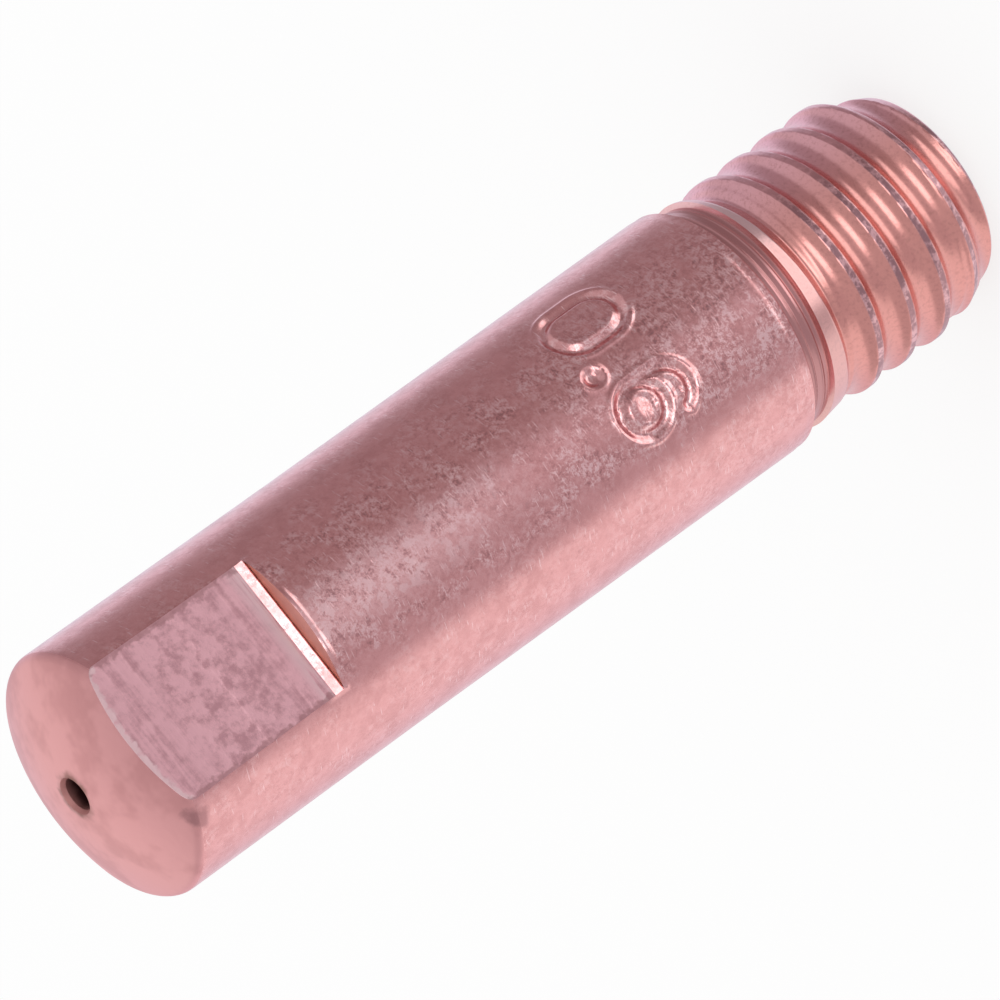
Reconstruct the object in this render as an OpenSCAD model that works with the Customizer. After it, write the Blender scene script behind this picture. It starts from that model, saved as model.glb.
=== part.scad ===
// Wire contact tip for a welding torch, 0.6 mm wire. Millimetres, +Z up.
// It stands on its thread end: the origin is the centre of that end, and +Z runs to the nose.
// One turned piece of copper: domed nose, two wrench flats, plain body, thread relief and right-hand thread.

/* [Body] */
// Length from the thread end to the middle of the nose
overall_length = 25; // [24:0.1:36]
// Diameter of the plain body
body_diameter = 6; // [5.9:0.05:8]
// How far the pressed flats swell the nose end, on the radius
nose_swell = 0.04; // [0.01:0.01:0.1]
// Length over which the swelling dies away, from the nose
swell_length = 8; // [7:0.1:10]

/* [Nose] */
// Radius of the domed nose
nose_dome_radius = 6; // [5:0.1:12]
// Rounding where the dome meets the body
nose_edge_radius = 0.3; // [0.1:0.05:0.6]

/* [Wrench flats] */
// Width across the two flats
flats_width = 4.92; // [4.7:0.02:5.4]
// Length of the flats, from the middle of the nose
flats_length = 5.35; // [4:0.1:6.5]

/* [Wire bore] */
// Bore for the wire, wider than the wire so that it slides
bore_diameter = 0.8; // [0.7:0.05:1.4]
// Mouth of the lead-in cone at the thread end
lead_in_diameter = 2; // [1.6:0.1:2.6]
// Depth of the lead-in cone
lead_in_depth = 1.4; // [0.8:0.1:2.5]

/* [Thread] */
// Length from the thread end to the shoulder
thread_length = 5.95; // [5.5:0.05:7]
// Diameter over the thread crests
thread_diameter = 5.7; // [5.6:0.02:5.8]
// Pitch of the coarse thread
thread_pitch = 1; // [0.9:0.05:1.1]
// Depth of the round-bottomed thread groove
thread_depth = 0.2; // [0.14:0.02:0.3]
// Flat width left on each crest
crest_width = 0.2; // [0.14:0.02:0.28]
// Height of the groove's middle on the +X side, within one pitch
thread_phase = 0.816; // [0.6:0.004:0.9]
// Length of the plain relief below the shoulder
relief_length = 0.65; // [0.5:0.05:0.9]
// Depth of the relief under the thread crests
relief_depth = 0.12; // [0.05:0.01:0.2]
// Length of the tapered lead at the thread end
lead_length = 1.2; // [0.8:0.05:1.4]
// Diameter of the end of the lead
end_diameter = 4.72; // [4.4:0.02:5]
// Rounding of the end's edge
end_edge_radius = 0.15; // [0.05:0.01:0.3]
// Rounding of the shoulder edge
shoulder_radius = 0.08; // [0.05:0.01:0.15]

/* [Size mark] */
// Height of the figures along the axis
mark_height = 2.1; // [1.8:0.05:2.4]
// Width of the nought round the body
zero_width = 1.55; // [1.3:0.05:1.7]
// Width of the six round the body
six_width = 1.4; // [1.2:0.05:1.5]
// Width of the pressed strokes
mark_stroke = 0.26; // [0.2:0.02:0.34]
// Depth of the pressed strokes
mark_depth = 0.09; // [0.05:0.01:0.14]
// Height of the figures' middle above the thread end
mark_middle = 9.75; // [9:0.05:12]

/* [Hidden] */
$fn = 96;
eps = 0.01;
body_r = body_diameter / 2;
nose_r = body_r + nose_swell;
thread_r = thread_diameter / 2;
relief_r = thread_r - relief_depth;
relief_z = thread_length - relief_length;
end_x = end_diameter / 2 - end_edge_radius;
// Steps of the end's rounding, and the direction from its middle to where the taper leaves it
edge_steps = 6;
lead_reach = norm([thread_r - end_x, lead_length - end_edge_radius]);
lead_turn = atan2(lead_length - end_edge_radius, thread_r - end_x) - acos(end_edge_radius / lead_reach);
dome_z = overall_length - nose_dome_radius;
edge_x = nose_r - nose_edge_radius;
edge_z = dome_z + sqrt(pow(nose_dome_radius - nose_edge_radius, 2) - pow(edge_x, 2));
tangent_scale = nose_dome_radius / (nose_dome_radius - nose_edge_radius);
tangent_x = edge_x * tangent_scale;
tangent_z = dome_z + (edge_z - dome_z) * tangent_scale;
swell_z = overall_length - swell_length;
flats_z = overall_length - flats_length;

// Figure positions round the body, in degrees from the front, which is -Y, towards +X
zero_angle = 33.5;
dot_angle = 9.5;
six_angle = -13;
dot_width = 1.7 * mark_stroke;

// Thread groove: steps round a turn, and turns from where it starts on the lead to its run-out at the relief
groove_steps = 36;
groove_start = (0.2 - thread_phase) / thread_pitch;
groove_stop = (relief_z - thread_phase) / thread_pitch - 0.18;
runout_turn = 0.3;
half_open = (thread_pitch - crest_width) / 2;
groove_radius = (pow(half_open, 2) + pow(thread_depth, 2)) / (2 * thread_depth);
// The cutter's arc goes on a little past the crests, short of its neighbouring turns
over = 0.065;
groove_edge = acos((groove_radius - thread_depth - over) / groove_radius);
arc_steps = 4;
groove_section = [for (i = [-arc_steps : arc_steps]) groove_arc(groove_edge * i / arc_steps)];
function groove_arc(angle) =
    [groove_radius - thread_depth - groove_radius * cos(angle), groove_radius * sin(angle)];

// Half section of the turned blank, from the thread end to the nose
module blank_section() {
    // Thread stub with a tapered lead, rounded at the end's edge
    translate([0, lead_length]) square([thread_r, relief_z - lead_length]);
    polygon(concat(
        [[0, 0]],
        [for (i = [0 : edge_steps]) end_edge_point(i / edge_steps)],
        [[thread_r, lead_length], [thread_r, lead_length + eps], [0, lead_length + eps]]
    ));
    // Relief below the shoulder
    translate([0, relief_z - eps]) square([relief_r, relief_length + 2 * eps]);
    // Body with its rounded shoulder edge and the swelling towards the nose
    translate([0, thread_length]) square([body_r - shoulder_radius, shoulder_radius + eps]);
    translate([body_r - shoulder_radius, thread_length + shoulder_radius]) circle(r = shoulder_radius);
    translate([0, thread_length + shoulder_radius])
        square([body_r, swell_z - thread_length - shoulder_radius]);
    polygon([[0, swell_z - eps], [body_r, swell_z - eps], [body_r, swell_z], [nose_r, edge_z], [0, edge_z]]);
    // Domed nose with a rounded edge
    translate([edge_x, edge_z]) circle(r = nose_edge_radius);
    polygon([[0, edge_z - eps], [edge_x, edge_z - eps], [tangent_x, tangent_z], [0, tangent_z]]);
    intersection() {
        translate([0, dome_z]) circle(r = nose_dome_radius);
        translate([0, tangent_z - eps]) square([tangent_x, overall_length]);
    }
}

// Point on the end's rounding, a share of the way from the end face to the taper
function end_edge_point(share) =
    let (turn = -90 + share * (lead_turn + 90))
    [end_x + end_edge_radius * cos(turn), end_edge_radius * (1 + sin(turn))];

module blank() {
    rotate_extrude()
        intersection() {
            blank_section();
            square([2 * body_r, 2 * overall_length]);
        }
}

// Point of the groove at one step of the helix. It follows the lead's taper and fades outward at both ends.
function groove_turn(i) = groove_start + i / groove_steps;
function groove_fade(turn) =
    max(0, (turn - groove_stop) / runout_turn + 1, (groove_start - turn) / runout_turn + 1);
function lead_drop(z) = max(0, lead_length - z) * (thread_r - end_diameter / 2) / lead_length;
function groove_point(i, j) =
    let (
        turn = groove_turn(i),
        z = thread_phase + thread_pitch * turn,
        reach = thread_r - lead_drop(z) + groove_section[j][0] + (thread_depth + 0.1) * groove_fade(turn)
    )
    [reach * cos(360 * turn), reach * sin(360 * turn), z + groove_section[j][1]];

module thread_groove() {
    n = len(groove_section);
    steps = floor((groove_stop - groove_start) * groove_steps);
    points = [for (i = [0 : steps]) for (j = [0 : n - 1]) groove_point(i, j)];
    sides = [for (i = [0 : steps - 1]) for (j = [0 : n - 1])
        each [[i * n + j, (i + 1) * n + (j + 1) % n, i * n + (j + 1) % n],
              [i * n + j, (i + 1) * n + j, (i + 1) * n + (j + 1) % n]]];
    polyhedron(points, concat([[for (j = [0 : n - 1]) j]], sides, [[for (j = [n - 1 : -1 : 0]) steps * n + j]]));
}

// Everything beyond one flat, from its step up past the nose
module flat_cut(side) {
    rotate([0, 0, side])
        translate([-body_r - 1, -body_r - 2, flats_z])
            cube([2 * body_r + 2, body_r + 2 - flats_width / 2, overall_length]);
}

module wire_bore() {
    translate([0, 0, -1]) cylinder(d = bore_diameter, h = overall_length + 2);
    cylinder(d1 = lead_in_diameter, d2 = bore_diameter, h = lead_in_depth);
}

// A figure pressed to an even depth, with its foot towards the nose
module pressed(angle) {
    intersection() {
        translate([0, 0, mark_middle])
            rotate([0, 0, angle]) rotate([90, 0, 0]) linear_extrude(height = body_r + 1) children();
        difference() {
            translate([0, 0, mark_middle - mark_height]) cylinder(r = body_r + 1, h = 2 * mark_height);
            translate([0, 0, mark_middle - mark_height - 1])
                cylinder(r = body_r - mark_depth, h = 2 * mark_height + 2);
        }
    }
}

module rounded_bar(width, height) {
    translate([0, height / 2 - width / 2]) circle(d = width);
    translate([0, width / 2 - height / 2]) circle(d = width);
    square([width, height - width], center = true);
}

module zero_figure() {
    difference() {
        rounded_bar(zero_width, mark_height);
        rounded_bar(zero_width - 2 * mark_stroke, mark_height - 2 * mark_stroke);
    }
}

module dot_figure() {
    translate([0, mark_height / 2 - 0.4 * dot_width]) circle(d = dot_width);
}

module ring(width) {
    difference() {
        circle(d = width);
        circle(d = width - 2 * mark_stroke);
    }
}

// Bowl towards the nose, with a straight stem that curls round at the thread end and stops short of the bowl
module six_figure() {
    bowl = six_width;
    reach = (mark_height - bowl) / 2;
    translate([0, reach]) ring(bowl);
    translate([bowl / 2 - mark_stroke, -reach]) square([mark_stroke, 2 * reach]);
    translate([0, -reach])
        difference() {
            ring(bowl);
            translate([-bowl, 0]) square([2 * bowl, bowl]);
            translate([-bowl, -0.25 * bowl]) square([bowl, bowl]);
        }
}

module contact_tip() {
    color([0.80, 0.52, 0.46])
        difference() {
            blank();
            thread_groove();
            flat_cut(0);
            flat_cut(180);
            wire_bore();
            pressed(zero_angle) zero_figure();
            pressed(dot_angle) dot_figure();
            pressed(six_angle) six_figure();
        }
}

contact_tip();
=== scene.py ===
import math
import random

import bmesh
import bpy
from mathutils import Matrix, Vector, noise


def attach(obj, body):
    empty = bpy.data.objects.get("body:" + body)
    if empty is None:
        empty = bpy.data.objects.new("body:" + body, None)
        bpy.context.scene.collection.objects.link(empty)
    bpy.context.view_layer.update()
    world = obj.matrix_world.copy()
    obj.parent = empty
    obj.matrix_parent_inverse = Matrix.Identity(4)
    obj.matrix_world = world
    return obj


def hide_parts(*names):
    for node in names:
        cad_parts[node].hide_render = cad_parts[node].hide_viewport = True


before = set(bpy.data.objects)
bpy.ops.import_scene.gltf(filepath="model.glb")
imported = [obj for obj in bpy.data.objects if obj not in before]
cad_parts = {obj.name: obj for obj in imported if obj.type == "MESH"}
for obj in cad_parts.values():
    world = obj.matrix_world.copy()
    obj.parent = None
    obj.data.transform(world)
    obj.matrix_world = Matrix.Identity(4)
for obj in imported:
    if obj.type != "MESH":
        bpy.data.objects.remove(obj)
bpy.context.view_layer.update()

# Sizes of the tip, in millimetres, with heights measured up from the thread end, and angles in degrees
MM = 0.001
OVERALL_LENGTH = 25.0
BODY_R = 3.0
NOSE_SWELL = 0.04
SWELL_Z = OVERALL_LENGTH - 8.0
SWELL_TOP = OVERALL_LENGTH - 1.0
NOSE_R = BODY_R + NOSE_SWELL
DOME_R = 6.0
DOME_Z = OVERALL_LENGTH - DOME_R
NOSE_EDGE_R = 0.3
DOME_STOP_ANGLE = 0.8
MOUTH_CHAMFER = 0.06
MOUTH_DEPTH = 0.12
FLAT_Y = 2.46
FLATS_Z = OVERALL_LENGTH - 5.35
STEP_ROWS_Z = FLATS_Z - 0.42
FLAT_CUT_LOW = FLATS_Z - 0.5
BROW_LOW = OVERALL_LENGTH - 1.0
BORE_R = 0.4
LEAD_IN_R = 1.0
LEAD_IN_DEPTH = 1.4
THREAD_R = 2.85
THREAD_DEPTH = 0.2
THREAD_PHASE = 0.816
THREAD_START = 0.2
CREST_WIDTH = 0.2
CREST_ROUNDING = 0.04
SHOULDER_Z = 5.95
SHOULDER_EDGE_R = 0.11
SHOULDER_WORN_TO = 0.34
SHOULDER_WORN = ((0.006, 0.25), (0.024, 0.16))
RELIEF_Z = 5.3
RELIEF_R = THREAD_R - 0.12
LEAD_LENGTH = 1.2
END_R = 2.36
END_EDGE_R = 0.15
RELIEF_RIDGES = (5.72, 5.5)
RIDGE_HEIGHT = 0.022
RIDGE_WIDTH = 0.028
RELIEF_CORNER = 0.03
CREST_CORNER = 0.02

# Thread's ends: turns that it stops short of the relief, turns of its fade, and the cone at its run-out
STOP_SHORT = 0.18
FADE_TURNS = 0.3
FADE_EXTRA = 0.1
RUN_OUT_SLOPE = 0.17
RUN_OUT_LOW = 4.5
RUN_OUT_TOP = 4.75
THREAD_TOP = RELIEF_Z - 0.01
END_FACE_R = END_R - END_EDGE_R + 0.02

# Size mark: heights, widths and places round the body, in degrees from the front towards +X
MARK_Z = 9.75
MARK_HEIGHT = 2.1
ZERO_WIDTH = 1.55
SIX_WIDTH = 1.4
STROKE = 0.26
MARK_DEPTH = 0.09
LIP_HEIGHT = 0.025
ZERO_ANGLE = 33.5
DOT_ANGLE = 9.5
SIX_ANGLE = -13.0
DOT_WIDTH = 1.7 * STROKE
CURL_STOP = 0.55
ISLAND_RISE = 0.03
ISLAND_LEAN = 0.2
ISLAND_SPREAD = 0.75
WALL_SPREAD = 1.35
LIP_OFFSET = 0.04
LIP_WIDTH = 0.055

# Mesh: columns round the tip, row spacing on the thread and across the mark
COLUMNS = 240
THREAD_ROW = 0.034
MARK_ROW = 0.045
MARK_LOW = 8.4
MARK_TOP = 11.1
MARK_LEFT = -36
MARK_RIGHT = 56
OUTSIDE_R = 0.9 * BODY_R
FLAT_LEAST_CORNERS = 20
CLOSE = 1e-4
SHARP_ANGLE = math.radians(28)

# Cutter's traces: the ledge left at the foot of a flat, its cross lines, and the burr pushed up at its step
LEDGE_RISE = 0.05
LEDGE_FROM = 0.05
LEDGE_TO = 0.34
FIRST_LINE = 0.015
SECOND_LINE = 0.06
LAST_LINE = 0.65
LINE_LOWEST = -0.007
LINE_HIGHEST = 0.003
LINE_GAP_LEAST = 0.06
LINE_GAP_MOST = 0.3
BROW_WIDTH = 0.1
BURR_RISE = 0.035
BURR_WIDTH = 0.07
BURR_PATCHES = 1.8
BURR_SHARE = 0.5
BURR_SWING = 0.9
FLAT_SEEDS = ((-1, 3), (1, 8))


# Shapes of the turned section
def run(start, end, steps):
    """Points on a straight line after start, up to and including end."""
    return [
        (start[0] + (end[0] - start[0]) * i / steps, start[1] + (end[1] - start[1]) * i / steps)
        for i in range(1, steps + 1)
    ]


def arc(centre, radius, start, end, steps):
    """Points on an arc, start and end in degrees from the radial direction, both included."""
    points = []
    for i in range(steps + 1):
        a = math.radians(start + (end - start) * i / steps)
        points.append((centre[0] + radius * math.cos(a), centre[1] + radius * math.sin(a)))
    return points


def tip_section():
    """Closed half section of the tip, from the bore's mouth over the nose and body to the end and back."""
    edge_x = NOSE_R - NOSE_EDGE_R
    edge_z = DOME_Z + math.sqrt((DOME_R - NOSE_EDGE_R) ** 2 - edge_x ** 2)
    edge_start = math.degrees(math.atan2(edge_z - DOME_Z, edge_x))
    mouth = math.degrees(math.acos((BORE_R + MOUTH_CHAMFER) / DOME_R))
    points = arc((0, DOME_Z), DOME_R, mouth, edge_start + DOME_STOP_ANGLE, steps=22)
    points += arc((edge_x, edge_z), NOSE_EDGE_R, edge_start, 0, steps=7)
    # Body, with fine rows across the pressed mark
    points += run(points[-1], (body_radius(FLATS_Z), FLATS_Z), steps=20)
    points += run(points[-1], (body_radius(STEP_ROWS_Z), STEP_ROWS_Z), steps=12)
    points += run(points[-1], (BODY_R, SWELL_Z), steps=7)
    points += run(points[-1], (BODY_R, MARK_TOP), steps=16)
    points += run(points[-1], (BODY_R, MARK_LOW), steps=round((MARK_TOP - MARK_LOW) / MARK_ROW))
    points += run(points[-1], (BODY_R, SHOULDER_Z + SHOULDER_WORN_TO), steps=8)
    # The worn edge leaves the body by a small drop on the radius at each height
    points += [(BODY_R - drop, SHOULDER_Z + rise) for drop, rise in SHOULDER_WORN]
    # Shoulder and relief
    edge_middle = (BODY_R - SHOULDER_EDGE_R, SHOULDER_Z + SHOULDER_EDGE_R)
    points += arc(edge_middle, SHOULDER_EDGE_R, -30, -90, steps=4)
    points += run(points[-1], (RELIEF_R + RELIEF_CORNER, SHOULDER_Z), steps=3)
    relief_top = (RELIEF_R, SHOULDER_Z - RELIEF_CORNER)
    relief_foot = (RELIEF_R, RELIEF_Z + RELIEF_CORNER)
    relief = run(relief_top, relief_foot, steps=36)
    points += [(r + turned_ridge(z), z) for r, z in relief]
    # Thread and its tapered lead
    points += run(relief_foot, (THREAD_R, RELIEF_Z - CREST_CORNER), steps=2)
    points += run(points[-1], (THREAD_R, LEAD_LENGTH), steps=round((RELIEF_Z - LEAD_LENGTH) / THREAD_ROW))
    taper = math.degrees(math.atan((THREAD_R - END_R) / LEAD_LENGTH))
    edge = arc((END_R - END_EDGE_R, END_EDGE_R), END_EDGE_R, -taper, -90, steps=7)
    points += run(points[-1], edge[0], steps=round(LEAD_LENGTH / THREAD_ROW)) + edge[1:]
    # End face, lead-in cone and bore
    points += run(points[-1], (LEAD_IN_R, 0), steps=4)
    points += run(points[-1], (BORE_R, LEAD_IN_DEPTH), steps=5)
    points += run(points[-1], (BORE_R, OVERALL_LENGTH - MOUTH_DEPTH), steps=10)
    return points


def turned_ridge(z):
    """Height of the fine ridges that the tool left in the relief."""
    return sum(RIDGE_HEIGHT * math.exp(-((z - ridge) / RIDGE_WIDTH) ** 2) for ridge in RELIEF_RIDGES)


def body_radius(z):
    """Radius of the plain body at a height, with the swelling towards the nose."""
    if z < SWELL_Z:
        return BODY_R
    return BODY_R + NOSE_SWELL * min((z - SWELL_Z) / (SWELL_TOP - SWELL_Z), 1.0)


def smooth_step(low, high, value):
    t = min(max((value - low) / (high - low), 0.0), 1.0)
    return t * t * (3 - 2 * t)


def soft_min(a, b, width):
    """The lower of two values, rounded over the width where they meet."""
    h = max(width - abs(a - b), 0.0) / width
    return min(a, b) - h * h * width / 4


# Thread: a shallow right-hand groove of one millimetre pitch that fades out on the lead and at the relief
def groove_depth(angle, z):
    turn_here = angle / (2 * math.pi)
    offset = z - THREAD_PHASE - turn_here
    turn = turn_here + round(offset)
    across = abs(offset - round(offset))
    half_open = (1.0 - CREST_WIDTH) / 2
    radius = (half_open ** 2 + THREAD_DEPTH ** 2) / (2 * THREAD_DEPTH)
    hollow = math.sqrt(max(radius ** 2 - across ** 2, 0.0)) - (radius - THREAD_DEPTH)
    depth = -soft_min(-hollow, 0.0, CREST_ROUNDING)
    stop = RELIEF_Z - THREAD_PHASE - STOP_SHORT
    start = THREAD_START - THREAD_PHASE
    fade = max((turn - stop) / FADE_TURNS + 1, (start - turn) / FADE_TURNS + 1, 0.0)
    return max(depth - fade * (THREAD_DEPTH + FADE_EXTRA), 0.0)


def cut_thread(bm):
    for v in bm.verts:
        x, y, z = v.co
        r = math.hypot(x, y)
        if z > THREAD_TOP or r < END_FACE_R:
            continue
        run_out_cone = RUN_OUT_SLOPE * (RELIEF_Z - z) * smooth_step(RUN_OUT_LOW, RUN_OUT_TOP, z)
        scale = 1 - (run_out_cone + groove_depth(math.atan2(y, x), z)) / r
        v.co.x = x * scale
        v.co.y = y * scale


# Size mark pressed into the body, with its figures' feet towards the nose
def bar_distance(x, y, width, height):
    """Distance to the outline of an upright bar with round ends."""
    straight = (height - width) / 2
    return abs(math.hypot(x, y - min(max(y, -straight), straight)) - width / 2)


def six_distance(x, y):
    """Distance to the middle line of the six: a bowl, a straight stem, and a curl that stops short."""
    radius = (SIX_WIDTH - STROKE) / 2
    centre = (MARK_HEIGHT - SIX_WIDTH) / 2
    bowl = abs(math.hypot(x, y - centre) - radius)
    below = y + centre
    if x > 0 and below > 0:
        stem = math.hypot(x - radius, max(y - centre, 0.0))
    elif x < 0 and below > -CURL_STOP * radius:
        stem = math.hypot(x + radius * math.sqrt(1 - CURL_STOP ** 2), below + CURL_STOP * radius)
    else:
        stem = abs(math.hypot(x, below) - radius)
    return min(bowl, stem)


def mark_height(angle, z):
    """Height of the surface above the body where the mark is pressed, negative inside the strokes."""
    y = z - MARK_Z
    along = math.radians(1) * BODY_R
    zero = bar_distance((angle - ZERO_ANGLE) * along, y, ZERO_WIDTH - STROKE, MARK_HEIGHT - STROKE)
    six = six_distance((angle - SIX_ANGLE) * along, y)
    dot_y = y - (MARK_HEIGHT / 2 - 0.4 * DOT_WIDTH)
    dot = math.hypot((angle - DOT_ANGLE) * along, dot_y) - (DOT_WIDTH - STROKE) / 2
    gap = min(zero, six, dot)
    half = STROKE / 2
    floor = -MARK_DEPTH * (1 - smooth_step(0.0, WALL_SPREAD * half, gap))
    lip = LIP_HEIGHT * math.exp(-((gap - WALL_SPREAD * half - LIP_OFFSET) / LIP_WIDTH) ** 2)
    island_y = y - (MARK_HEIGHT - SIX_WIDTH) / 2
    island = math.hypot((angle - SIX_ANGLE) * along, island_y) / (SIX_WIDTH / 2 - STROKE)
    rise = (ISLAND_RISE + ISLAND_LEAN * island_y) * math.exp(-(island / ISLAND_SPREAD) ** 4)
    return floor + lip + rise


def press_mark(bm):
    """Finer columns across the mark, and its figures pressed into them."""

    def in_patch(v, margin):
        a = math.degrees(math.atan2(v.co.x, -v.co.y))
        return (
            MARK_LOW - CLOSE < v.co.z < MARK_TOP + CLOSE
            and MARK_LEFT - margin < a < MARK_RIGHT + margin
            and math.hypot(v.co.x, v.co.y) > OUTSIDE_R
        )

    rings = [
        e
        for e in bm.edges
        if abs(e.verts[0].co.z - e.verts[1].co.z) < CLOSE and all(in_patch(v, 0) for v in e.verts)
    ]
    bmesh.ops.subdivide_edges(bm, edges=rings, cuts=2, use_grid_fill=True)
    for v in bm.verts:
        if not in_patch(v, 1):
            continue
        a = math.atan2(v.co.x, -v.co.y)
        r = BODY_R + mark_height(math.degrees(a), v.co.z)
        v.co.x = r * math.sin(a)
        v.co.y = -r * math.cos(a)


# Wrench flats, cut square to the axis at the step, with the cutter's cross lines
def with_edges(faces):
    """Faces with their own edges and corners."""
    geom = set(faces)
    for f in faces:
        geom.update(f.edges)
        geom.update(f.verts)
    return list(geom)


def cut_flat(bm, side, lines):
    """One flat: cut off, closed at the flat and its step, eased at the nose side, and lined across."""
    plane = Vector((0, side * FLAT_Y, 0))
    outward = Vector((0, side, 0))
    upper = [
        f
        for f in bm.faces
        if min(v.co.z for v in f.verts) > FLAT_CUT_LOW and side * f.calc_center_median().y > 0
    ]
    bmesh.ops.bisect_plane(bm, geom=with_edges(upper), dist=CLOSE, plane_co=plane, plane_no=outward)
    beyond = [
        f
        for f in bm.faces
        if f.calc_center_median().z > FLATS_Z and side * f.calc_center_median().y > FLAT_Y + CLOSE / 10
    ]
    bmesh.ops.delete(bm, geom=beyond, context="FACES")
    rim = [e for e in bm.edges if len(e.link_faces) == 1]
    corners = [
        v
        for v in {v for e in rim for v in e.verts}
        if abs(v.co.z - FLATS_Z) < CLOSE and abs(side * v.co.y - FLAT_Y) < CLOSE
    ]
    chord = bm.edges.new(corners)
    step = [e for e in rim if all(abs(v.co.z - FLATS_Z) < CLOSE for v in e.verts)]
    outline = [e for e in rim if e not in step]
    bmesh.ops.edgeloop_fill(bm, edges=step + [chord])
    made = bmesh.ops.edgeloop_fill(bm, edges=outline + [chord])
    brow = [
        e
        for e in made["faces"][0].edges
        if min(v.co.z for v in e.verts) > BROW_LOW and max(f.normal.z for f in e.link_faces) > NOSE_FACING
    ]
    bmesh.ops.bevel(
        bm,
        geom=brow,
        offset=BROW_WIDTH,
        offset_type="OFFSET",
        segments=2,
        profile=0.5,
        affect="EDGES",
        material=-1,
        clamp_overlap=True,
    )
    faces = [
        f
        for f in bm.faces
        if abs(side * f.calc_center_median().y - FLAT_Y) < CLOSE and len(f.verts) > FLAT_LEAST_CORNERS
    ]
    for z, shift in lines:
        cut = bmesh.ops.bisect_plane(
            bm, geom=with_edges(faces), dist=CLOSE, plane_co=(0, 0, z), plane_no=(0, 0, 1)
        )
        faces = [f for f in cut["geom"] if isinstance(f, bmesh.types.BMFace)]
        for v in cut["geom_cut"]:
            if isinstance(v, bmesh.types.BMVert):
                v.co.y += side * shift


def tool_lines(seed):
    """Heights of the cutter's cross lines on one flat, and how far each stands out of the flat."""
    draw = random.Random(seed)
    lines = [(FLATS_Z + FIRST_LINE, LEDGE_RISE)]
    z = FLATS_Z + SECOND_LINE
    while z < OVERALL_LENGTH - LAST_LINE:
        ledge = LEDGE_RISE * (1 - smooth_step(LEDGE_FROM, LEDGE_TO, z - FLATS_Z))
        lines.append((z, ledge + draw.uniform(LINE_LOWEST, LINE_HIGHEST)))
        z += draw.uniform(LINE_GAP_LEAST, LINE_GAP_MOST)
    return lines


def raise_burr(bm, side, seed):
    """The lip of metal that the cutter pushed up along the edge of the step."""
    for v in bm.verts:
        x, y, z = v.co
        if not STEP_ROWS_Z < z < FLATS_Z + CLOSE or side * y < FLAT_Y:
            continue
        patchy = BURR_SHARE + BURR_SWING * noise.noise(Vector((BURR_PATCHES * x, seed, 0)))
        rise = BURR_RISE * max(patchy, 0.0) * math.exp(-((z - FLATS_Z + BURR_WIDTH) / BURR_WIDTH) ** 2)
        scale = 1 + rise / math.hypot(x, y)
        v.co.x = x * scale
        v.co.y = y * scale


# Node helpers for the materials
RISE = (0.0, 1.0)
FALL = (1.0, 0.0)


def node(tree, kind, **settings):
    """A new node with its settings."""
    n = tree.nodes.new(kind)
    for name, value in settings.items():
        setattr(n, name, value)
    return n


def feed(tree, target, source):
    tree.links.new(source, target)


def maths(tree, operation, first, second=0.0, clamp=False):
    """One step of arithmetic on sockets or plain numbers."""
    n = node(tree, "ShaderNodeMath", operation=operation, use_clamp=clamp)
    for socket, value in zip(n.inputs, (first, second)):
        if isinstance(value, (int, float)):
            socket.default_value = value
        else:
            feed(tree, socket, value)
    return n.outputs[0]


def plus(tree, first, second):
    return maths(tree, "ADD", first, second)


def minus(tree, first, second):
    return maths(tree, "SUBTRACT", first, second)


def times(tree, first, second):
    return maths(tree, "MULTIPLY", first, second)


def split(tree, where):
    """The X, Y and Z of a place or direction."""
    n = node(tree, "ShaderNodeSeparateXYZ")
    feed(tree, n.inputs["Vector"], where)
    return n.outputs["X"], n.outputs["Y"], n.outputs["Z"]


def spread(tree, value, between, to=RISE):
    """A value brought smoothly from one range to another, and held at the ends."""
    n = node(tree, "ShaderNodeMapRange", interpolation_type="SMOOTHSTEP")
    feed(tree, n.inputs["Value"], value)
    n.inputs["From Min"].default_value = between[0]
    n.inputs["From Max"].default_value = between[1]
    n.inputs["To Min"].default_value = to[0]
    n.inputs["To Max"].default_value = to[1]
    return n.outputs["Result"]


def blend_colour(tree, factor, first, second):
    """A mix of two colours, each a socket or a plain colour."""
    n = node(tree, "ShaderNodeMix", data_type="RGBA")
    feed(tree, n.inputs["Factor"], factor)
    for name, value in (("A", first), ("B", second)):
        socket = [i for i in n.inputs if i.name == name and i.type == "RGBA"][0]
        if isinstance(value, tuple):
            socket.default_value = (*value, 1)
        else:
            feed(tree, socket, value)
    return [o for o in n.outputs if o.type == "RGBA"][0]


def noise_value(tree, where, pattern):
    """Noise with a pattern's cells per millimetre, levels of detail, and roughness of the detail."""
    n = node(tree, "ShaderNodeTexNoise")
    for name, value in zip(("Scale", "Detail", "Roughness"), pattern):
        n.inputs[name].default_value = value
    feed(tree, n.inputs["Vector"], where)
    return n.outputs["Fac"]


def stretched(tree, where, angle, scale):
    """Coordinates turned about Z and scaled, for a pattern that runs one way."""
    n = node(tree, "ShaderNodeMapping")
    n.inputs["Rotation"].default_value = (0, 0, math.radians(angle))
    n.inputs["Scale"].default_value = scale
    feed(tree, n.inputs["Vector"], where)
    return n.outputs["Vector"]


def in_millimetres(tree):
    """Object coordinates in millimetres."""
    coordinates = node(tree, "ShaderNodeTexCoord").outputs["Object"]
    return stretched(tree, coordinates, 0, (1 / MM, 1 / MM, 1 / MM))


def radius_of(tree, place):
    """Distance from the tip's axis."""
    x, y, _ = split(tree, place)
    return maths(tree, "SQRT", plus(tree, times(tree, x, x), times(tree, y, y)))


def round_the_tip(tree):
    """Millimetres round the tip and up it, from the piece's own map."""
    return node(tree, "ShaderNodeUVMap", uv_map="wrap").outputs["UV"]


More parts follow.
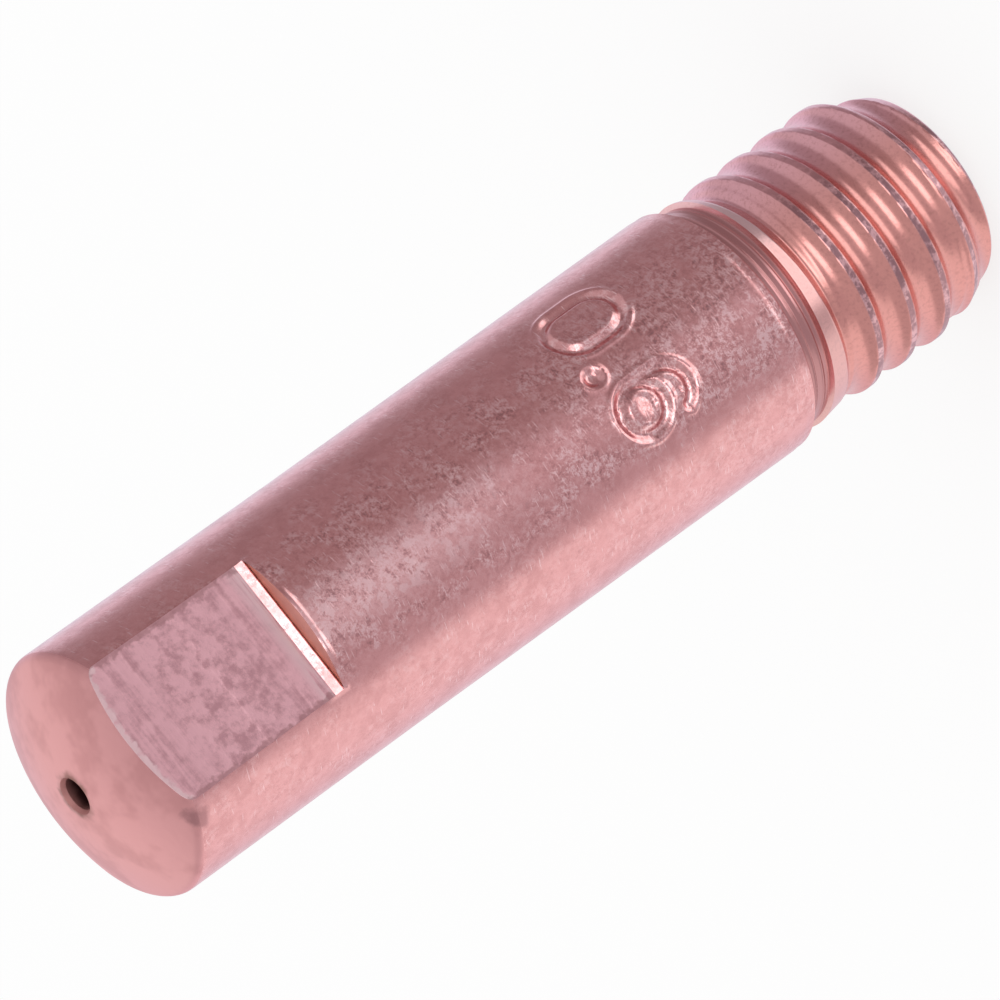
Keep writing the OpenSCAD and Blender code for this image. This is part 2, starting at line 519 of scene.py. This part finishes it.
def add_bump(tree, shader, height, distance):
    n = node(tree, "ShaderNodeBump")
    n.inputs["Distance"].default_value = distance
    n.inputs["Strength"].default_value = 1.0
    feed(tree, n.inputs["Height"], height)
    feed(tree, shader.inputs["Normal"], n.outputs["Normal"])


# Scratches: direction in degrees, cells per millimetre along and across it, and share of the cells marked
NICK_LAYERS = (
    (14, 3.0, 30.0, 0.5),
    (40, 2.4, 32.0, 0.4),
    (75, 3.4, 30.0, 0.5),
    (104, 2.6, 33.0, 0.4),
    (136, 3.6, 31.0, 0.5),
    (165, 2.5, 32.0, 0.4),
)
NICK_SWAY_SCALE = 1.3
NICK_SWAY = 0.16
NICK_SIZE = 0.36
NICK_GAIN = 3.0


def nick_group():
    """Fine hair scratches and small dents in several directions, from metal rubbed on metal."""
    group = bpy.data.node_groups.new("nicks", "ShaderNodeTree")
    group.interface.new_socket("Place", in_out="INPUT", socket_type="NodeSocketVector")
    group.interface.new_socket("Amount", in_out="INPUT", socket_type="NodeSocketFloat")
    group.interface.new_socket("Dent", in_out="OUTPUT", socket_type="NodeSocketFloat")
    start = group.nodes.new("NodeGroupInput")
    end = group.nodes.new("NodeGroupOutput")
    sway = node(group, "ShaderNodeTexNoise")
    sway.inputs["Scale"].default_value = NICK_SWAY_SCALE
    feed(group, sway.inputs["Vector"], start.outputs["Place"])
    swayed = node(group, "ShaderNodeMix", data_type="VECTOR")
    swayed.inputs[0].default_value = NICK_SWAY
    feed(group, swayed.inputs[4], start.outputs["Place"])
    feed(group, swayed.inputs[5], sway.outputs["Color"])
    total = None
    for angle, along, across, share in NICK_LAYERS:
        place = stretched(group, swayed.outputs[1], angle, (along, across, 1))
        cells = node(group, "ShaderNodeTexVoronoi", voronoi_dimensions="2D")
        cells.inputs["Scale"].default_value = 1.0
        feed(group, cells.inputs["Vector"], place)
        chosen = node(group, "ShaderNodeSeparateColor")
        feed(group, chosen.inputs["Color"], cells.outputs["Color"])
        limit = times(group, start.outputs["Amount"], share)
        kept = maths(group, "LESS_THAN", chosen.outputs[0], limit)
        size = times(group, chosen.outputs[1], NICK_SIZE)
        inside = maths(group, "SUBTRACT", size, cells.outputs["Distance"], clamp=True)
        dent = times(group, times(group, inside, NICK_GAIN), kept)
        total = dent if total is None else plus(group, total, dent)
    feed(group, end.inputs["Dent"], total)
    return group


nicks = nick_group()

# Copper colours, linear
BRIGHT_COPPER = (0.83, 0.415, 0.415)
DULL_COPPER = (0.72, 0.345, 0.345)
SCRATCH_COPPER = (0.97, 0.64, 0.65)
PIT_COPPER = (0.41, 0.195, 0.205)
FLAT_COPPER = (0.91, 0.52, 0.565)
FLAT_DULL = (0.625, 0.33, 0.365)
FLAT_BRIGHT = (0.92, 0.64, 0.66)
STEP_COPPER = (0.92, 0.60, 0.50)
GROOVE_WARM_SHADE = (0.79, 0.36, 0.325)
GROOVE_MAUVE_REFLECTION = (0.86, 0.455, 0.495)
GROOVE_SPECK = (0.46, 0.20, 0.19)
RELIEF_SHADE = (0.56, 0.27, 0.27)
PLATEAU_HIGHLIGHT = (0.88, 0.62, 0.62)
WORN_CREST = (0.80, 0.47, 0.49)
CREST_DULL = (0.42, 0.23, 0.25)
BORE_DARK = (0.12, 0.045, 0.045)
MOUTH = (0.62, 0.31, 0.29)
SMEAR = (0.30, 0.14, 0.12)

# Noise patterns: cells per millimetre, levels of detail, and roughness of the detail
MOTTLE_NOISE = (2.6, 5.0, 0.65)
RUBBED_EDGE_NOISE = (0.8, 3.0, 0.5)
PATCH_NOISE = (1.3, 5.0, 0.65)
GRAIN_NOISE = (6.5, 8.0, 0.85)
CLUMP_NOISE = (1.5, 4.0, 0.6)
BLOTCH_NOISE = (3.6, 4.0, 0.6)
SMUDGE_NOISE = (3.0, 3.0, 0.5)
NOSE_PATCH_NOISE = (0.8, 3.0, 0.6)
SMEAR_NOISE = (2.5, 2.0, 0.5)
NOSE_GRAIN_NOISE = (6.0, 3.0, 0.5)
CUTTER_NOISE = (1.0, 3.0, 0.6)
FLAT_MOTTLE_NOISE = (3.4, 5.0, 0.7)
CHIP_NOISE = (5.0, 3.0, 0.5)
SPOT_NOISE = (4.0, 5.0, 0.7)
SPECK_NOISE = (9.0, 6.0, 0.75)
RIPPLE_NOISE = (8.0, 3.0, 0.5)
BORE_EDGE_NOISE = (3.0, 2.0, 0.5)

# Bump heights, in metres
BODY_BUMP = 1.6e-6
NOSE_BUMP = 6e-6
FLAT_BUMP = 14e-6
THREAD_BUMP = 7e-6

# Rubbed strip of the body: its middle towards -X, its sides, its lower end and waver, and the front,
# coloured duller as painted shade
RUBBED_SIDE = 0.3
RUBBED_WIDTH = (0.3, 1.0)
RUBBED_RISE = (14.5, 19.0)
RUBBED_WAVER = 4.0
SHADED_FRONT_WIDTH = (0.9, 1.5)

# Where the body's wear and its painted glints end, in millimetres round from the front towards +X, or up
# the tip
WEAR_ENDS_RIGHT = (1.1, 2.4)
WEAR_ENDS_LEFT = (-1.75, -1.35)
SHOULDER_WEAR = (SHOULDER_Z + 1.0, SHOULDER_Z + 9.0)

# Smudge on the nose edge: its middle, its soft edge, and how far that wavers
SMUDGE_AT = (-2.15, -2.1, 24.1)
SMUDGE_EDGE = (0.45, 0.75)
SMUDGE_WAVER = 0.7

# Where the thread's finish changes, in the same measures
THREAD_BACK = (5.0, 9.2)
MAUVE_REFLECTION_SIDE = (0.2, 2.8)
RUBBED_CRESTS = (0.6, 2.2)
CRESTS_END = (4.4, 4.6)
PLATEAU_RISE = (4.7, 4.85)
PLATEAU_FROM = (0.4, 1.4)
PLATEAU_TO = (2.2, 3.2)
RELIEF_RISE = (RELIEF_Z, RELIEF_Z + 0.1)

# Where the flat's finish changes: its mottled middle, bright foot, pale burr brightened as a painted
# highlight, and chipped long edges darkened partly as painted shade
FLAT_MIDDLE = FLATS_Z + 2.3
MIDDLE_EDGE = (0.6, 1.5)
FOOT_EDGE = (FLATS_Z + 0.3, FLATS_Z + 0.7)
BURR_HIGHLIGHT_EDGE = (0.06, 0.18)
CHIPPED_SHADED_EDGE = (1.62, 1.72)
CUTTER_STRETCH = (0.3, 1.0, 4.5)


def copper(name, colour, roughness):
    """A bare copper material, ready for its own pattern. Returns the material, tree and shader."""
    material = bpy.data.materials.new(name)
    material.use_nodes = True
    tree = material.node_tree
    shader = tree.nodes["Principled BSDF"]
    shader.inputs["Base Color"].default_value = (*colour, 1)
    shader.inputs["Metallic"].default_value = 1
    shader.inputs["Roughness"].default_value = roughness
    return material, tree, shader


def body_finish():
    """Plain turned body, dulled and scratched, with a paler rubbed patch below the front flat, a front
    coloured duller as painted shade, and pale flecks that are partly painted glints.
    """
    material, tree, shader = copper("scratched_body_copper", BRIGHT_COPPER, 0.18)
    place = round_the_tip(tree)
    solid = in_millimetres(tree)
    around, up, _ = split(tree, place)
    mottle = noise_value(tree, solid, MOTTLE_NOISE)
    aside = maths(tree, "ABSOLUTE", plus(tree, around, RUBBED_SIDE))
    waver = times(tree, noise_value(tree, solid, RUBBED_EDGE_NOISE), RUBBED_WAVER)
    high = spread(tree, plus(tree, up, waver), RUBBED_RISE)
    rubbed = times(tree, high, spread(tree, aside, RUBBED_WIDTH, FALL))
    # Painted shade: the front is coloured duller than the sides
    off_shaded_front = minus(tree, 1.0, spread(tree, aside, SHADED_FRONT_WIDTH, FALL))
    tone = plus(tree, spread(tree, mottle, (0.35, 0.65), (0.0, 0.7)), times(tree, rubbed, 0.6))
    tone = maths(tree, "ADD", tone, times(tree, off_shaded_front, 0.5), clamp=True)
    skin = blend_colour(tree, tone, DULL_COPPER, BRIGHT_COPPER)
    skin = blend_colour(tree, times(tree, rubbed, 0.3), skin, SCRATCH_COPPER)
    patches = spread(tree, noise_value(tree, solid, PATCH_NOISE), (0.4, 0.52), (0.5, 0.0))
    skin = blend_colour(tree, times(tree, patches, off_shaded_front), skin, DULL_COPPER)
    # Wear lies mostly on the front side, in clumps of flecks and pits with a few hair scratches; the pale
    # flecks and scratches there are partly painted glints
    side = spread(tree, around, WEAR_ENDS_RIGHT, (1.0, 0.3))
    side = times(tree, side, spread(tree, around, WEAR_ENDS_LEFT, (0.3, 1.0)))
    grain = noise_value(tree, solid, GRAIN_NOISE)
    near_shoulder = spread(tree, up, SHOULDER_WEAR, (0.08, 0.0))
    clumps = plus(tree, noise_value(tree, solid, CLUMP_NOISE), near_shoulder)
    flecks_and_glints = times(tree, spread(tree, grain, (0.5, 0.55)), spread(tree, clumps, (0.42, 0.6), (0.25, 1.0)))
    skin = blend_colour(tree, times(tree, flecks_and_glints, side), skin, SCRATCH_COPPER)
    pits = spread(tree, grain, (0.42, 0.47), FALL)
    pits = times(tree, pits, spread(tree, clumps, (0.42, 0.6), (0.25, 0.8)))
    skin = blend_colour(tree, times(tree, pits, side), skin, PIT_COPPER)
    blotches = spread(tree, noise_value(tree, solid, BLOTCH_NOISE), (0.52, 0.6), (0.0, 0.8))
    skin = blend_colour(tree, times(tree, blotches, rubbed), skin, SCRATCH_COPPER)
    worn = node(tree, "ShaderNodeGroup", node_tree=nicks)
    feed(tree, worn.inputs["Place"], place)
    scratched = spread(tree, clumps, (0.42, 0.62), (0.1, 0.42))
    feed(tree, worn.inputs["Amount"], times(tree, scratched, side))
    dent = worn.outputs["Dent"]
    # Hair scratches coloured pale, partly as painted glints
    skin = blend_colour(tree, maths(tree, "MULTIPLY", dent, 1.5, clamp=True), skin, SCRATCH_COPPER)
    feed(tree, shader.inputs["Base Color"], blend_colour(tree, corner_smudge(tree), skin, PIT_COPPER))
    add_bump(tree, shader, minus(tree, grain, times(tree, dent, 0.6)), BODY_BUMP)
    feed(tree, shader.inputs["Roughness"], spread(tree, mottle, (0.3, 0.7), (0.24, 0.15)))
    return material


def corner_smudge(tree):
    """Dark smudge on the nose edge beside a corner of the front flat."""
    place = in_millimetres(tree)
    away = node(tree, "ShaderNodeVectorMath", operation="DISTANCE")
    feed(tree, away.inputs[0], place)
    away.inputs[1].default_value = SMUDGE_AT
    waver = times(tree, noise_value(tree, place, SMUDGE_NOISE), SMUDGE_WAVER)
    return spread(tree, plus(tree, away.outputs["Value"], waver), SMUDGE_EDGE, (0.75, 0.0))


def nose_finish():
    """Domed nose, smooth and a little matte, with faint darker patches and a smear round the bore."""
    material, tree, shader = copper("matte_nose_copper", BRIGHT_COPPER, 0.42)
    place = in_millimetres(tree)
    patches = spread(tree, noise_value(tree, place, NOSE_PATCH_NOISE), (0.36, 0.56))
    skin = blend_colour(tree, patches, DULL_COPPER, BRIGHT_COPPER)
    waver = times(tree, noise_value(tree, place, SMEAR_NOISE), 0.5)
    clean = spread(tree, plus(tree, radius_of(tree, place), waver), (BORE_R + 0.2, BORE_R + 0.5))
    skin = blend_colour(tree, clean, SMEAR, skin)
    feed(tree, shader.inputs["Base Color"], blend_colour(tree, corner_smudge(tree), skin, PIT_COPPER))
    add_bump(tree, shader, noise_value(tree, place, NOSE_GRAIN_NOISE), NOSE_BUMP)
    return material


def flat_finish():
    """Milled flat, with cross lines from the cutter, a mottled middle and a bright foot."""
    material, tree, shader = copper("milled_flat_copper", FLAT_COPPER, 0.3)
    place = in_millimetres(tree)
    x, _, z = split(tree, place)
    lines = noise_value(tree, stretched(tree, place, 0, CUTTER_STRETCH), CUTTER_NOISE)
    mottle = noise_value(tree, place, FLAT_MOTTLE_NOISE)
    off_middle = maths(tree, "ABSOLUTE", minus(tree, z, FLAT_MIDDLE))
    lined = spread(tree, off_middle, MIDDLE_EDGE, (0.15, 0.5))
    shade = plus(tree, mottle, times(tree, minus(tree, lines, mottle), lined))
    colour = blend_colour(tree, spread(tree, shade, (0.36, 0.58)), FLAT_DULL, FLAT_COPPER)
    foot = times(tree, spread(tree, z, FOOT_EDGE, FALL), spread(tree, lines, (0.4, 0.52)))
    colour = blend_colour(tree, foot, colour, FLAT_BRIGHT)
    # Pale burr along the nose side, brightened as a painted highlight, and long edges chipped darker,
    # partly as painted shade
    chips = times(tree, minus(tree, noise_value(tree, place, CHIP_NOISE), 0.5), 0.5)
    brow = maths(tree, "SQRT", minus(tree, DOME_R ** 2 - FLAT_Y ** 2, times(tree, x, x)))
    inside = minus(tree, plus(tree, brow, DOME_Z), z)
    burr_highlight = spread(tree, plus(tree, inside, chips), BURR_HIGHLIGHT_EDGE, FALL)
    colour = blend_colour(tree, burr_highlight, colour, FLAT_BRIGHT)
    aside = plus(tree, maths(tree, "ABSOLUTE", x), chips)
    colour = blend_colour(tree, spread(tree, aside, CHIPPED_SHADED_EDGE, (0.0, 0.6)), colour, PIT_COPPER)
    feed(tree, shader.inputs["Base Color"], colour)
    add_bump(tree, shader, shade, FLAT_BUMP)
    return material


def step_finish():
    """Wall of the step at the foot of a flat."""
    return copper("step_copper", STEP_COPPER, 0.45)[0]


def thread_finish():
    """Rolled thread: smooth grooves, coloured warm and darker in front and mauve towards +X as painted
    shade and reflection, and narrow crests worn pale.
    """
    material, tree, shader = copper("thread_copper", GROOVE_WARM_SHADE, 0.2)
    solid = in_millimetres(tree)
    around, up, _ = split(tree, round_the_tip(tree))
    turn = maths(tree, "DIVIDE", around, 2 * math.pi * BODY_R)
    climb = minus(tree, minus(tree, up, THREAD_PHASE - 0.25), turn)
    across = maths(tree, "PINGPONG", climb, 0.5)
    top = spread(tree, across, (0.5 - 0.5 * CREST_WIDTH, 0.5 - 0.3 * CREST_WIDTH))
    # The +X side differs, with its grooves coloured mauve as a painted reflection, and fades into the rest
    # again round the back, before the wrap meets itself
    back = spread(tree, around, THREAD_BACK, FALL)
    mauve_reflection = times(tree, spread(tree, around, MAUVE_REFLECTION_SIDE), back)
    rubbed = times(tree, spread(tree, around, RUBBED_CRESTS, (0.0, 0.8)), back)
    kept = times(tree, spread(tree, up, CRESTS_END, FALL), minus(tree, 1.0, rubbed))
    crest = times(tree, top, kept)
    spots = spread(tree, noise_value(tree, solid, SPOT_NOISE), (0.46, 0.62))
    worn = blend_colour(tree, spots, CREST_DULL, WORN_CREST)
    # Painted shade and reflection: grooves darker and warm in front, mauve towards +X
    groove = blend_colour(tree, mauve_reflection, GROOVE_WARM_SHADE, GROOVE_MAUVE_REFLECTION)
    specks = spread(tree, noise_value(tree, solid, SPECK_NOISE), (0.48, 0.64), (0.0, 0.3))
    groove = blend_colour(tree, specks, groove, GROOVE_SPECK)
    # Painted highlight: the run-out plateau is coloured pale, most a little round from the front towards +X
    pale = spread(tree, around, PLATEAU_FROM, (0.4, 1.0))
    pale = times(tree, pale, spread(tree, around, PLATEAU_TO, (1.0, 0.4)))
    plateau_highlight = times(tree, spread(tree, up, PLATEAU_RISE), pale)
    groove = blend_colour(tree, plateau_highlight, groove, PLATEAU_HIGHLIGHT)
    # Painted shade: the relief below the shoulder is coloured darker
    groove = blend_colour(tree, spread(tree, up, RELIEF_RISE), groove, RELIEF_SHADE)
    feed(tree, shader.inputs["Base Color"], blend_colour(tree, crest, groove, worn))
    ripple = noise_value(tree, solid, RIPPLE_NOISE)
    height = times(tree, ripple, spread(tree, crest, RISE, (0.3, 0.8)))
    add_bump(tree, shader, height, THREAD_BUMP)
    feed(tree, shader.inputs["Roughness"], spread(tree, crest, RISE, (0.24, 0.25)))
    return material


def bore_finish():
    """Bore and lead-in, coloured near black, and paler towards the nose mouth."""
    material, tree, shader = copper("dark_bore_copper", BORE_DARK, 0.6)
    place = in_millimetres(tree)
    _, _, z = split(tree, place)
    ragged = times(tree, minus(tree, noise_value(tree, place, BORE_EDGE_NOISE), 0.5), 0.3)
    mouth = spread(tree, plus(tree, z, ragged), (OVERALL_LENGTH - 0.4, OVERALL_LENGTH - 0.05))
    feed(tree, shader.inputs["Base Color"], blend_colour(tree, mouth, BORE_DARK, MOUTH))
    return material


MATERIALS = [body_finish(), nose_finish(), flat_finish(), thread_finish(), bore_finish(), step_finish()]
BODY, NOSE, FLAT, THREAD, BORE, STEP = range(6)

# Limits that tell the finishes apart: places in millimetres, and how far a face looks that way
BORE_REACH = 0.6 * LEAD_IN_R
BORE_TOP = OVERALL_LENGTH - 0.03
FLAT_SLACK = 0.03
FLAT_FACING = 0.98
STEP_FACING = 0.9
NOSE_LOW = OVERALL_LENGTH - 1.1
NOSE_FACING = 0.3


def face_finish(f):
    """Which copper finish a face of the tip has."""
    c = f.calc_center_median()
    r = math.hypot(c.x, c.y)
    if r < BORE_REACH and c.z < BORE_TOP:
        return BORE
    if c.z > FLATS_Z and abs(c.y) > FLAT_Y - FLAT_SLACK and abs(f.normal.y) > FLAT_FACING:
        return FLAT
    if abs(c.z - FLATS_Z) < CLOSE and f.normal.z > STEP_FACING:
        return STEP
    if c.z > NOSE_LOW and f.normal.z > NOSE_FACING:
        return NOSE
    if c.z < SHOULDER_Z - CLOSE:
        return THREAD
    return BODY


def wrap_map(bm):
    """A map in millimetres, round the tip from the front and up it, joined within each face at the back."""
    wrap = bm.loops.layers.uv.new("wrap")
    for f in bm.faces:
        c = f.calc_center_median()
        middle = math.atan2(c.x, -c.y)
        for loop in f.loops:
            x, y, z = loop.vert.co
            a = math.atan2(x, -y)
            if a - middle > math.pi:
                a -= 2 * math.pi
            elif middle - a > math.pi:
                a += 2 * math.pi
            loop[wrap].uv = (a * BODY_R, z)


# The tip itself
def make_tip():
    bm = bmesh.new()
    chain = [bm.verts.new((r, 0, z)) for r, z in tip_section()]
    edges = [bm.edges.new((a, b)) for a, b in zip(chain, chain[1:] + chain[:1])]
    bmesh.ops.spin(
        bm,
        geom=chain + edges,
        cent=(0, 0, 0),
        axis=(0, 0, 1),
        angle=2 * math.pi,
        steps=COLUMNS,
        use_merge=True,
        use_duplicate=False,
    )
    bmesh.ops.remove_doubles(bm, verts=bm.verts, dist=CLOSE)
    cut_thread(bm)
    press_mark(bm)
    for side, seed in FLAT_SEEDS:
        cut_flat(bm, side, tool_lines(seed))
        raise_burr(bm, side, seed)
    bmesh.ops.recalc_face_normals(bm, faces=bm.faces)
    for f in bm.faces:
        f.smooth = True
        f.material_index = face_finish(f)
    for e in bm.edges:
        finishes = {f.material_index for f in e.link_faces}
        if e.calc_face_angle(0.0) > SHARP_ANGLE or (FLAT in finishes and len(finishes) > 1):
            e.smooth = False
    wrap_map(bm)
    bmesh.ops.scale(bm, vec=(MM, MM, MM), verts=bm.verts)
    mesh = bpy.data.meshes.new("turned_tip")
    bm.to_mesh(mesh)
    bm.free()
    for material in MATERIALS:
        mesh.materials.append(material)
    tip = bpy.data.objects.new("turned_tip", mesh)
    bpy.context.scene.collection.objects.link(tip)
    return tip


tip = make_tip()
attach(tip, "root")
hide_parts("contact_tip")


# Stage: a pale floor, which the metal doesn't mirror
PAPER = (0.95, 0.95, 0.95)
WHITE_SHARE = 0.75
FLOOR_RADIUS = 1.5


def floor_paper():
    """White paper that lights up where it is seen, and still takes part of the shadow."""
    material = bpy.data.materials.new("floor_paper")
    material.use_nodes = True
    tree = material.node_tree
    shader = tree.nodes["Principled BSDF"]
    shader.inputs["Base Color"].default_value = (*PAPER, 1)
    shader.inputs["Roughness"].default_value = 1
    shader.inputs["Specular IOR Level"].default_value = 0
    white = node(tree, "ShaderNodeEmission")
    path = node(tree, "ShaderNodeLightPath")
    seen = maths(tree, "MAXIMUM", path.outputs["Is Camera Ray"], path.outputs["Is Glossy Ray"])
    seen = maths(tree, "MAXIMUM", seen, path.outputs["Is Transmission Ray"])
    mix = node(tree, "ShaderNodeMixShader")
    feed(tree, mix.inputs["Fac"], times(tree, seen, WHITE_SHARE))
    feed(tree, mix.inputs[1], shader.outputs["BSDF"])
    feed(tree, mix.inputs[2], white.outputs["Emission"])
    feed(tree, tree.nodes["Material Output"].inputs["Surface"], mix.outputs["Shader"])
    return material


def make_floor():
    bm = bmesh.new()
    bmesh.ops.create_circle(bm, cap_ends=True, radius=FLOOR_RADIUS, segments=64)
    mesh = bpy.data.meshes.new("floor")
    bm.to_mesh(mesh)
    bm.free()
    mesh.materials.append(floor_paper())
    floor = bpy.data.objects.new("floor", mesh)
    bpy.context.scene.collection.objects.link(floor)
    floor.visible_glossy = False


make_floor()

# Studio round the tip, as its metal sees it: grey levels by degrees round from the camera, positive to -X
STUDIO_GREYS = (
    (-180, (0.86, 0.88, 1.0)),
    (-140, (0.86, 0.88, 1.0)),
    (-122, (0.46, 0.44, 0.48)),
    (-104, (0.38, 0.33, 0.35)),
    (-38, (0.40, 0.34, 0.35)),
    (-20, (0.50, 0.46, 0.48)),
    (-8, (0.66, 0.63, 0.66)),
    (10, (0.66, 0.63, 0.66)),
    (22, (0.58, 0.55, 0.58)),
    (60, (0.58, 0.55, 0.58)),
    (76, (1.0, 1.0, 1.0)),
    (115, (1.02, 1.0, 1.02)),
    (150, (0.86, 0.78, 0.86)),
)
# Soft boxes: middle round from the camera, half width, lowest and highest elevation, and strength
LOW_BOX = (-8, 44, -86, -41, 0.5)
FRONT_BOX = (0, 20, 0, 26, 1.2)
BOX_SOFTNESS = 6
BOX_RIM = 3
# Ceiling, the wall behind it, and where one gives way to the other: degrees round, elevations and heights
CEILING = (0.62, 0.60, 0.62)
WALL = (0.95, 0.95, 0.95)
WHITE = (1.0, 1.0, 1.0)
WALL_FROM = (125 / 360, 150 / 360)
CEILING_FROM = (45, 70)
HORIZON = (0.02, 0.22)
VIEW_TURN = math.radians(5.66)


def heights(low, high):
    """Heights of directions at two elevations in degrees."""
    return math.sin(math.radians(low)), math.sin(math.radians(high))


def soft_box(tree, turn, height, box):
    """How much of a soft box lies in a direction, with soft edges."""
    middle, half, low, high, gain = box
    aside = maths(tree, "ABSOLUTE", minus(tree, turn, 0.5 + middle / 360))
    facing = spread(tree, aside, ((half - BOX_SOFTNESS) / 360, (half + BOX_SOFTNESS) / 360), FALL)
    above = spread(tree, height, heights(low - BOX_RIM, low + BOX_RIM))
    below = spread(tree, height, heights(high - BOX_RIM, high + BOX_RIM), FALL)
    return times(tree, facing, times(tree, above, below)), gain


def make_studio():
    world = bpy.data.worlds.new("studio")
    world.use_nodes = True
    tree = world.node_tree
    background = tree.nodes["Background"]
    direction = node(tree, "ShaderNodeTexCoord").outputs["Generated"]
    x, y, height = split(tree, stretched(tree, direction, 90 + math.degrees(VIEW_TURN), (1, 1, 1)))
    angle = maths(tree, "ARCTAN2", y, x)
    turn = minus(tree, 0.5, maths(tree, "DIVIDE", angle, 2 * math.pi))
    ramp = node(tree, "ShaderNodeValToRGB")
    feed(tree, ramp.inputs["Fac"], turn)
    while len(ramp.color_ramp.elements) < len(STUDIO_GREYS):
        ramp.color_ramp.elements.new(1.0)
    for element, (degrees, grey) in zip(ramp.color_ramp.elements, STUDIO_GREYS):
        element.position = degrees / 360 + 0.5
        element.color = (*grey, 1)
    behind = spread(tree, maths(tree, "ABSOLUTE", minus(tree, turn, 0.5)), WALL_FROM)
    below_ceiling = spread(tree, height, heights(*CEILING_FROM), FALL)
    sky = blend_colour(tree, times(tree, behind, below_ceiling), CEILING, WALL)
    colour = blend_colour(tree, spread(tree, height, HORIZON), ramp.outputs["Color"], sky)
    strength = 1.0
    glossy = node(tree, "ShaderNodeLightPath").outputs["Is Glossy Ray"]
    for box in (LOW_BOX, FRONT_BOX):
        part, gain = soft_box(tree, turn, height, box)
        colour = blend_colour(tree, part, colour, WHITE)
        strength = plus(tree, times(tree, times(tree, part, gain), glossy), strength)
    feed(tree, background.inputs["Color"], blend_colour(tree, glossy, WHITE, colour))
    feed(tree, background.inputs["Strength"], strength)
    bpy.context.scene.world = world


make_studio()

# Camera, at the angle and roll of the photograph
VIEW_TILT = math.radians(27.49)
VIEW_ROLL = math.radians(35.79)
CAMERA_DISTANCE = 0.59
SENSOR_WIDTH = 36
FRAME_WIDTH = 0.021345
AIM_DOWN = 0.000212
towards = Vector((-math.sin(VIEW_TURN), -math.cos(VIEW_TURN), 0))
axis_down = Vector((0, 0, -1))
forward = axis_down * math.sin(VIEW_TILT) - towards * math.cos(VIEW_TILT)
along = axis_down * math.cos(VIEW_TILT) + towards * math.sin(VIEW_TILT)
across = axis_down.cross(towards)
right = along * math.cos(VIEW_ROLL) + across * math.sin(VIEW_ROLL)
down = across * math.cos(VIEW_ROLL) - along * math.sin(VIEW_ROLL)
aim = Vector((0, 0, OVERALL_LENGTH / 2 * MM)) + down * AIM_DOWN
camera = bpy.data.cameras.new("camera")
camera.sensor_width = SENSOR_WIDTH
camera.lens = SENSOR_WIDTH * CAMERA_DISTANCE / FRAME_WIDTH
camera.clip_start = 0.01
camera.clip_end = 10
camera_object = bpy.data.objects.new("camera", camera)
turn = Matrix((right, -down, -forward)).transposed().to_4x4()
camera_object.matrix_world = Matrix.Translation(aim - forward * CAMERA_DISTANCE) @ turn
bpy.context.scene.collection.objects.link(camera_object)
bpy.context.scene.camera = camera_object

bpy.context.scene.view_settings.view_transform = "Standard"
